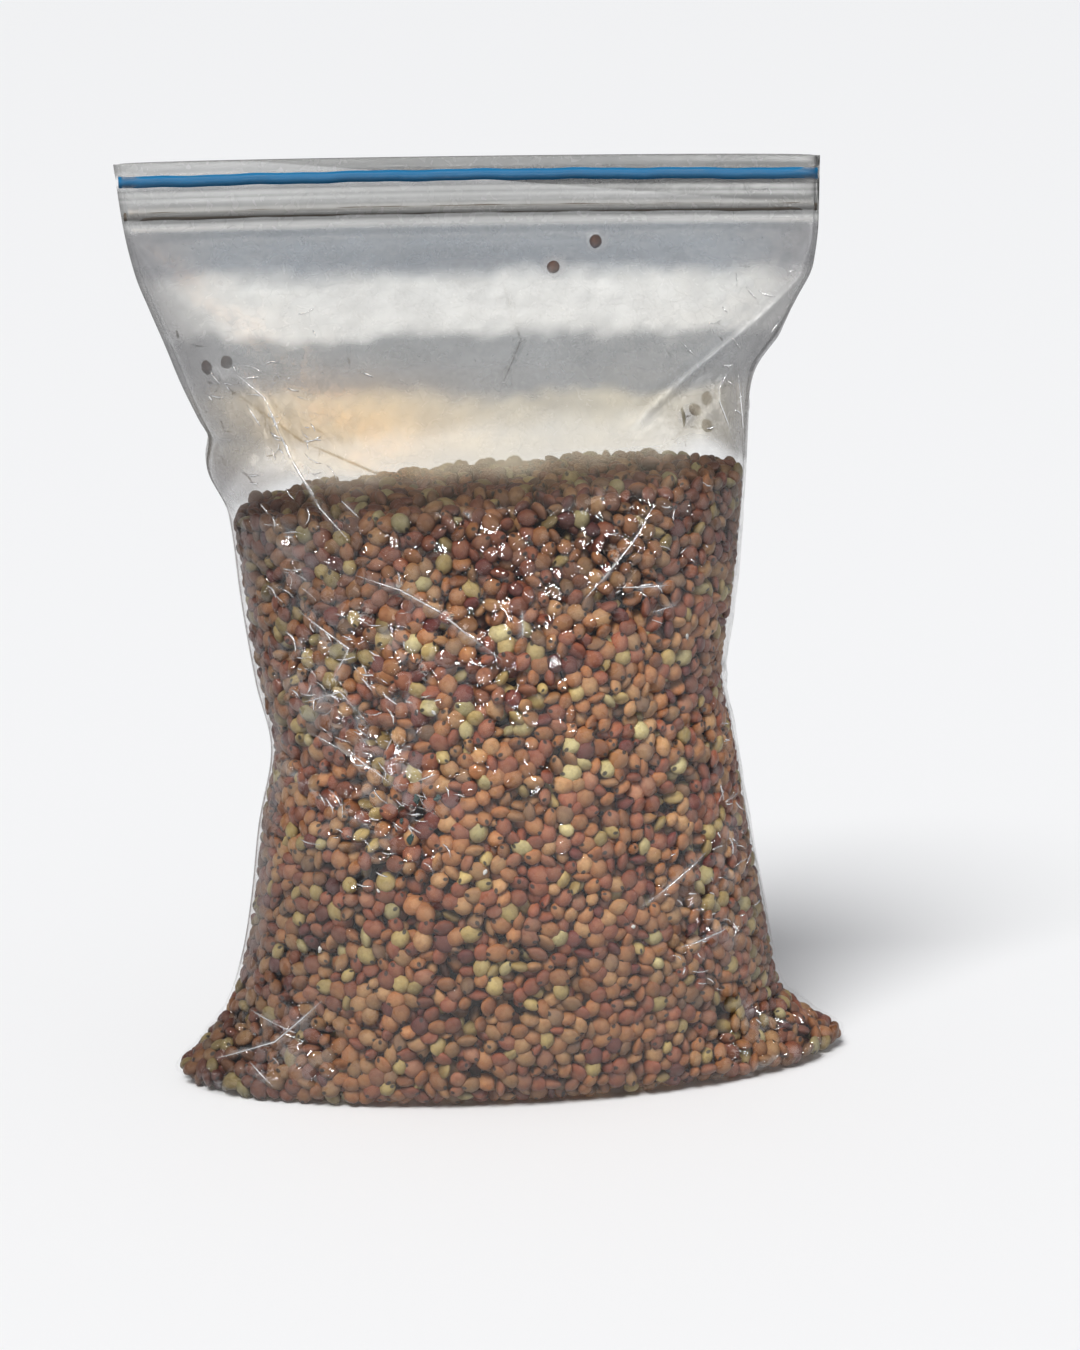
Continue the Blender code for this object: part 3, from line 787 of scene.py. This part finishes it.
def pour_kernels(tree):
    """Middles of kernels packed at random in a layer under the heap's whole surface."""
    rng = np.random.default_rng(5)
    low, high = np.array((-0.09, -0.05, 0.0)), np.array((0.09, 0.05, 0.165))
    kernel = math.pi / 6 * KERNEL_LONG * KERNEL_WIDE * KERNEL_THICK
    first = KERNEL_THICK / 2 + FILM_CLEAR
    points = rng.uniform(low, high, (int(np.prod(high - low) * POURED / kernel), 3))
    film_depth, top_depth, _ = depths(tree, points)
    nearest = np.minimum(film_depth, top_depth)
    points = points[(nearest > first * 0.5) & (nearest < LAYER_DEPTH)]
    for sweep in range(SWEEPS):
        if sweep % 4 == 0:
            grid = KDTree(len(points))
            for number, point in enumerate(points):
                grid.insert(point, number)
            grid.balance()
            pairs = np.array([
                (number, other) for number, point in enumerate(points)
                for _, other, _ in grid.find_range(point, KERNEL_SPACING * 1.25)
                if other > number])
        apart = points[pairs[:, 0]] - points[pairs[:, 1]]
        gap = np.linalg.norm(apart, axis=1) + 1e-9
        push = apart / gap[:, None] * (np.clip(KERNEL_SPACING - gap, 0, None) * 0.48)[:, None]
        np.add.at(points, pairs[:, 0], push)
        np.add.at(points, pairs[:, 1], -push)
        film_depth, top_depth, outward = depths(tree, points)
        short = first - film_depth
        short = np.where(short > 0, short, np.where(short > -0.7 * first, short * 0.25, 0))
        deep = np.clip(np.minimum(film_depth, top_depth) - LAYER_DEPTH, 0, None) * 0.5
        points += outward * (deep - short)[:, None]
        points[:, 2] -= np.clip(first - top_depth, 0, None)
    film_depth, top_depth, _ = depths(tree, points)
    return points[(film_depth > first * 0.75) & (top_depth > first * 0.5)]


def kernel_mesh(segments, rings):
    """One kernel in its own frame: long axis along X, flat side up Z, scar at -X."""
    spots = [(1.0, 0.0, 0.0)]
    for ring in range(1, rings):
        tilt = math.pi * ring / rings
        for step in range(segments):
            turn = 2 * math.pi * step / segments
            spots.append((math.cos(tilt), math.sin(tilt) * math.cos(turn),
                          math.sin(tilt) * math.sin(turn)))
    spots.append((-1.0, 0.0, 0.0))
    points = []
    for x, y, z in spots:
        narrow = 1 - 0.34 * max(-x, 0.0) ** 2.2 - 0.06 * max(x, 0.0)
        flat = 0.9 if z > 0 else 1.0
        points.append((x * KERNEL_LONG / 2, y * narrow * KERNEL_WIDE / 2,
                       z * flat * narrow * KERNEL_THICK / 2))
    corners = []
    last, widest = len(points) - 1, (rings - 2) * segments
    for here in range(segments):
        after = (here + 1) % segments
        corners.append((0, 1 + here, 1 + after))
        corners.append((last, 1 + widest + after, 1 + widest + here))
        for base in range(1, 1 + widest, segments):
            corners.append((base + here, base + segments + after, base + after))
            corners.append((base + here, base + segments + here, base + segments + after))
    return np.array(points), np.array(corners)


# Painted shade: the grain is darker near its top, its foot and its sides: places, then lightness
PAINTED_SHADE_BY_HEIGHT = ((0.0, 0.04, 0.09, 0.125, 0.15), (0.74, 0.80, 0.96, 0.82, 0.44))
PAINTED_SHADE_BY_SIDE = ((-0.075, -0.06, -0.045, -0.03, 0.05, 0.06), (0.40, 0.62, 0.88, 1.0, 1.0, 0.80))
# Seed coats, from the commonest to the rarest: colour and how many of a hundred
SEED_COATS = (
    ((0.44, 0.170, 0.055), 32),
    ((0.33, 0.092, 0.038), 24),
    ((0.53, 0.265, 0.105), 18),
    ((0.57, 0.400, 0.140), 8),
    ((0.62, 0.500, 0.220), 4),
    ((0.18, 0.036, 0.022), 6),
    ((0.38, 0.145, 0.070), 8),
    ((0.26, 0.135, 0.065), 3),
)


def kernel_frames(points, tree, rng):
    """Turn each kernel, flat against the film where it touches, and seat it there."""
    frames = []
    film_depth, top_depth, outward = depths(tree, points)
    for place, film_under, top_under, out in zip(points, film_depth, top_depth, outward):
        at_film = film_under < TOUCHING
        loose = 0.45 if at_film and rng.random() < 0.72 else 2.0
        thick = (Vector(out) + Vector([rng.gauss(0, loose) for _ in range(3)])).normalized()
        long_way = thick.orthogonal()
        long_way.rotate(Matrix.Rotation(rng.uniform(0, 2 * math.pi), 3, thick))
        wide = thick.cross(long_way)
        turn = np.array((long_way, wide, thick)).T * rng.gauss(1.0, 0.055)
        if at_film:
            half = np.array((KERNEL_LONG, KERNEL_WIDE, KERNEL_THICK)) / 2
            reach = float(np.linalg.norm(turn.T @ out * half))
            place = place - out * (reach + FILM_CLEAR + rng.uniform(0, 0.0003) - film_under)
        frames.append((turn, place, min(film_under, top_under)))
    return frames


def grain_piece(name, frames, shape, material, rng):
    """Copies of the kernel at these frames, as one piece that carries each one's colour, with its
    painted shade.
    """
    points, corners = shape
    count, each = len(frames), len(points)
    places = np.concatenate([points @ turn.T + place for turn, place, _ in frames])
    triangles = (corners[None] + np.arange(count)[:, None, None] * each).reshape(-1, 3)
    mesh = bpy.data.meshes.new(name)
    mesh.from_pydata(places, [], triangles)
    weights = [share for _, share in SEED_COATS]
    coats = np.array(rng.choices([coat for coat, _ in SEED_COATS], weights, k=count))
    coats = coats * np.array([rng.gauss(1.0, 0.14) for _ in range(count)])[:, None]
    heights = np.array([place[2] for _, place, _ in frames])
    across = np.array([place[0] for _, place, _ in frames])
    # Painted shade by height and side, multiplied into each kernel's colour
    shade = np.interp(heights, *PAINTED_SHADE_BY_HEIGHT) * np.interp(across, *PAINTED_SHADE_BY_SIDE)
    coats = coats * shade[:, None]
    tints = np.concatenate((np.clip(coats, 0.01, 0.9), np.ones((count, 1))), axis=1)
    coat = mesh.attributes.new("coat", "FLOAT_COLOR", "POINT")
    coat.data.foreach_set("color", np.repeat(tints, each, axis=0).ravel())
    local = np.tile(points / np.array((KERNEL_LONG, KERNEL_WIDE, KERNEL_THICK)), (count, 1))
    spot = mesh.attributes.new("local", "FLOAT_VECTOR", "POINT")
    spot.data.foreach_set("vector", local.ravel())
    return dressed(name, mesh, material, "grain", "grain_heap")


grain_finish = Finish("sorghum_seed_coat", IOR=1.5)
coat = grain_finish.attribute("coat", "Color")
local = grain_finish.attribute("local", "Vector")
along = grain_finish.node("SeparateXYZ", output="X", Vector=local)
side = grain_finish.node("SeparateXYZ", output="Y", Vector=local)
top = grain_finish.node("SeparateXYZ", output="Z", Vector=local)
mottle = grain_finish.noise(700.0, 4.0, Roughness=0.6)
fine = grain_finish.noise(2600.0)
tip = ((along + 0.38) ** 2 + side ** 2) ** 0.5
scar = 1 - tip.step(0.07, 0.13)
germ = (1 - ((along + 0.12) ** 2 * 9.0 + side ** 2 * 22.0).step(0.55, 1.0)) * top.step(0.1, 0.3)
streak = grain_finish.noise(5.0, 3.0, Vector=local, Distortion=0.4)
deep = grain_finish.node("HueSaturation", Color=coat, Hue=0.488, Saturation=1.12, Value=0.42)
pale = grain_finish.node("HueSaturation", Color=coat, Hue=0.512, Saturation=0.92, Value=1.45)
colour = grain_finish.blend((mottle - 0.38) * 1.4, coat, deep)
# Pale streaks on the outward flat side: partly the kernel's own streaks, partly a painted highlight on
# the side that faces out
colour = grain_finish.blend(top.step(0.18, 0.5) * streak.step(0.30, 0.75) * 0.75, colour, pale)
# Painted shade on the kernel's inward side
colour = grain_finish.blend((0.05 - top).step(0.0, 0.45) * 0.7, colour, deep)
colour = grain_finish.blend(germ * 0.25, colour, pale)
colour = grain_finish.blend(scar * 0.92, colour, (0.012, 0.008, 0.006))
grain_finish.feed(
    Base_Color=colour,
    Roughness=0.34 + mottle * 0.25,
    Normal=grain_finish.bump(mottle * 0.7 + fine * 0.2, 0.35, 0.0003),
)

bm = plain_bag(70, 9, np.linspace(0, 0.218, 110))
resting_film = BVHTree.FromBMesh(bm)
bm.free()
poured = pour_kernels(resting_film)
frames = kernel_frames(poured, resting_film, random.Random(8))
fine_kernel, plain_kernel = kernel_mesh(10, 6), kernel_mesh(7, 4)
picker = random.Random(21)
for depth_name, shape in (("film", fine_kernel), ("under", plain_kernel)):
    for face_name in ("front", "back"):
        for side_name in ("left", "right"):
            chosen = [item for item in frames
                      if (item[2] <= IN_SIGHT) == (depth_name == "film")
                      and (item[1][1] < 0) == (face_name == "front")
                      and (item[1][0] < -0.005) == (side_name == "left")]
            grain_piece(f"grain_{depth_name}_{face_name}_{side_name}", chosen, shape,
                        grain_finish.material, picker)

# The strays: single kernels and two slivers of husk that cling to the film above the heap.
stray_kernel = kernel_mesh(20, 12)
# The strays' dark brown is partly their own coat and partly painted shade
stray_finish = Finish("stray_seed_coat_and_shade", Roughness=0.5, IOR=1.5)
mottle = stray_finish.noise(900.0, 4.0)
stray_finish.feed(
    Base_Color=stray_finish.blend(mottle, (0.035, 0.018, 0.012), (0.15, 0.062, 0.032)),
    Normal=stray_finish.bump(mottle, 0.4, 0.0003),
)
husk_finish = Finish("husk", Roughness=0.6, IOR=1.45)
fibre = husk_finish.noise(1400.0, 3.0)
husk_finish.feed(Base_Color=husk_finish.blend(fibre, (0.05, 0.045, 0.025), (0.20, 0.17, 0.09)))


def cling(name, node, shape, size, degrees, material, slot, bend=0.0):
    """Lay a finer copy where a CAD stray lies, flat against the film beside it."""
    low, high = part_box(node)
    middle = (low + high) / 2
    _, normal, _, _ = resting_film.find_nearest(middle)
    face = -1 if middle.y < 0 else 1
    if normal.y * face < 0:
        normal.negate()
    across = Vector((1, 0, 0))
    across = (across - normal * across.dot(normal)).normalized()
    frame_of = Matrix((across, normal.cross(across), normal)).transposed()
    frame_of = frame_of @ Matrix.Rotation(math.radians(degrees), 3, "Z")
    points = shape[0] / np.array((KERNEL_LONG, KERNEL_WIDE, KERNEL_THICK)) * np.array(size)
    points[:, 1] += bend * points[:, 0] ** 2
    mesh = bpy.data.meshes.new(name)
    mesh.from_pydata(points @ np.array(frame_of).T + np.array(middle), [], shape[1])
    dressed(name, mesh, material, slot, node)


for number, degrees in enumerate((75, 60, 110, 60, 100, 20, 45), 1):
    cling(f"stray_kernel_{number}", f"stray_grain_{number}", stray_kernel,
          (0.0038, 0.0032, 0.0024), degrees, stray_finish.material, "grain")
for number, degrees in enumerate((110, 95), 1):
    cling(f"stray_sliver_{number}", f"stray_husk_{number}", stray_kernel,
          (0.0054, 0.0010, 0.0006), degrees, husk_finish.material, "husk", 60.0)

# Scraps among the grain: crushed bits of dark green leaf, and white flakes of bran.
LEAF_BITS = ((-33.0, 81.7, 2.6), (-34.5, 72.0, 2.4), (-27.9, 82.4, 1.8), (-36.5, 76.5, 1.6))
BRAN_BITS = ((-16.5, 63.9, 1.5), (-55.6, 40.8, 1.6), (5.3, 154.0, 1.7), (-28.7, 103.9, 1.3),
             (22.0, 47.0, 1.2), (-6.0, 96.0, 1.1), (38.0, 118.0, 1.2), (-42.0, 58.0, 1.0))


def scraps(name, bits, thick, colours, seed):
    """Small crumpled flakes that lie just inside the film."""
    bm = bmesh.new()
    rng = random.Random(seed)
    for x, z, size in bits:
        place, outward = on_film(x, z, -1)
        made = bmesh.ops.create_icosphere(bm, subdivisions=3, radius=0.5)["verts"]
        turn = outward.to_track_quat("Z", "Y").to_matrix() @ Matrix.Rotation(rng.uniform(0, 6), 3, "Z")
        waves = [(Vector([rng.gauss(0, 5) for _ in range(3)]), rng.uniform(0, 6)) for _ in range(5)]
        for vert in made:
            lump = 1 + 0.16 * sum(math.sin(vert.co.dot(wave) + phase) for wave, phase in waves)
            flake = Vector((vert.co.x * lump, vert.co.y * 0.62 * lump, vert.co.z * thick * lump))
            vert.co = place - outward * (0.0008 + size * MM * thick * 0.5) + turn @ flake * size * MM
    finish = Finish(name, Roughness=0.6, IOR=1.45)
    mottle = finish.noise(1500.0, 3.0)
    finish.feed(Base_Color=finish.blend(mottle, *colours), Normal=finish.bump(mottle, 0.5, 0.0003))
    finished(name, bm, finish.material, "grain")


scraps("leaf_scraps", LEAF_BITS, 0.30, ((0.006, 0.022, 0.024), (0.05, 0.11, 0.09)), 3)
scraps("bran_scraps", BRAN_BITS, 0.35, ((0.62, 0.60, 0.54), (0.88, 0.87, 0.82)), 4)

# The core: what is seen between the kernels, kernels in deep shade. It is a body under the modelled
# layer, painted dark as their shade, and as rough as the grain round it.
CORE_DEPTH = 0.0066

bm = plain_bag(60, 7, np.linspace(0, 0.146, 60))
bmesh.ops.holes_fill(bm, edges=[edge for edge in bm.edges if edge.is_boundary], sides=0)
bmesh.ops.triangulate(bm, faces=[f for f in bm.faces if len(f.verts) > 4])
bm.normal_update()
for vert in bm.verts:
    x, y, z = vert.co
    ear = max(0.0, 1 - z / 0.03)
    vert.co = Vector((x * (0.89 - 0.14 * ear), y * (1 - CORE_DEPTH / 0.045), CORE_DEPTH + z * 0.94))
    top = GRAIN_LINE + GRAIN_TILT * vert.co.x - BACK_FALL * max(vert.co.y, 0)
    vert.co.z = min(vert.co.z, top - CORE_DEPTH)
core_finish = Finish("shaded_grain", IOR=1.4)
cells = core_finish.node("TexVoronoi", output="Distance", Vector=core_finish.place(), Scale=240.0)
shade = core_finish.noise(300.0, 3.0)
core_finish.feed(
    Base_Color=core_finish.blend(shade, (0.010, 0.005, 0.003), (0.035, 0.013, 0.006)),
    Roughness=0.75 + shade * 0.2,
    Normal=core_finish.bump(1 - cells, 0.8, 0.0015),
)
finished("grain_core", bm, core_finish.material, "grain", "grain_heap")

# The floor, a plain pale sheet of card that runs on under and behind the bag. It lies just
# under the bag, so the two never share a plane.
FLOOR_CLEAR = 0.0002

bm = bmesh.new()
bmesh.ops.create_grid(bm, x_segments=1, y_segments=1, size=40.0)
mesh = bpy.data.meshes.new("floor")
bm.to_mesh(mesh)
bm.free()
floor_finish = Finish("white_card", Roughness=0.9)
floor_finish.feed(Base_Color=(0.88, 0.88, 0.88, 1.0))
mesh.materials.append(floor_finish.material)
floor = bpy.data.objects.new("floor", mesh)
bpy.context.collection.objects.link(floor)
floor.location.z = -FLOOR_CLEAR
floor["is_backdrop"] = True
floor.visible_diffuse = False


# The light: a pale room and high daylight from the left. Two long lamps over the bag
# add to the bands across its empty part, with a warm one beside them, and small hard lamps
# make the creases glint.
PANES = 18                 # how many small lamps stand in the arc before the bag
PANE_REACH = 1.4           # how far from the bag
PANE_RADIANCE = 75


def placed(name, data, place, direction):
    """Stand a lamp or a camera at a place, looking in a direction."""
    holder = bpy.data.objects.new(name, data)
    bpy.context.collection.objects.link(holder)
    holder.location = place
    holder.rotation_euler = direction.to_track_quat("-Z", "Y").to_euler()
    return holder


def lamp(name, place, size, power, colour=(1, 1, 1), aim=(0, 0, 0.12)):
    """A rectangular lamp that looks at the bag."""
    light = bpy.data.lights.new(name, "AREA")
    light.shape = "RECTANGLE"
    light.size, light.size_y = size
    light.energy = power
    light.color = colour
    return placed(name, light, Vector(place), Vector(aim) - Vector(place))


def glint(name, place, size, radiance, colour=(1, 1, 1), aim=(0, 0, 0.12)):
    """A lamp that only shows as a reflection, as bright as a window pane seen in the film."""
    power = radiance * math.pi * size[0] * size[1]
    lamp(name, place, size, power, colour, aim).visible_diffuse = False


glint("upper_band", (0.0, -0.66, 1.40), (2.4, 0.15), 2.6, aim=(0, 0, 0.2))
glint("lower_band", (0.0, -0.98, 1.16), (2.4, 0.27), 2.4, (1.0, 0.93, 0.84), (0, 0, 0.17))
glint("warm_band", (-0.32, -1.0, 1.02), (0.22, 0.14), 5.0, (1.0, 0.50, 0.18), (-0.04, 0, 0.17))
panes = random.Random(12)
for number in range(PANES):
    bearing = math.radians(-80 + 9 * number + panes.uniform(-3, 3))
    height = math.radians(panes.uniform(1, 34))
    flat_reach = PANE_REACH * math.cos(height)
    place = (flat_reach * math.sin(bearing), -flat_reach * math.cos(bearing),
             0.1 + PANE_REACH * math.sin(height))
    size = (panes.uniform(0.03, 0.06), panes.uniform(0.04, 0.09))
    glint(f"pane_{number}", place, size, PANE_RADIANCE)

daylight = bpy.data.lights.new("daylight", "SUN")
daylight.energy = 3.1
daylight.angle = math.radians(24)
sun = placed("daylight", daylight, Vector((0, 0, 0)), Vector((0.40, 0.60, -0.95)))
sun.visible_glossy = False

world = bpy.data.worlds.new("pale_room")
bpy.context.scene.world = world
world.use_nodes = True
background = world.node_tree.nodes["Background"]
background.inputs["Color"].default_value = (0.93, 0.95, 1.0, 1.0)
background.inputs["Strength"].default_value = 0.30

# The camera stands where the photograph was taken from, a little left of the bag and above.
CAMERA_PLACE = Vector((-0.1656, -0.8846, 0.2950))
CAMERA_AIM = Vector((0.0064, 0.0, 0.1027))
camera = bpy.data.cameras.new("camera")
camera.lens = 95.75
camera.sensor_width = 36
bpy.context.scene.camera = placed("camera", camera, CAMERA_PLACE, CAMERA_AIM - CAMERA_PLACE)
rays = bpy.context.scene.cycles
rays.max_bounces = 6
rays.diffuse_bounces = 2
rays.glossy_bounces = 2
rays.transparent_max_bounces = 10
bpy.context.scene.view_settings.view_transform = "Standard"

low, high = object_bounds()
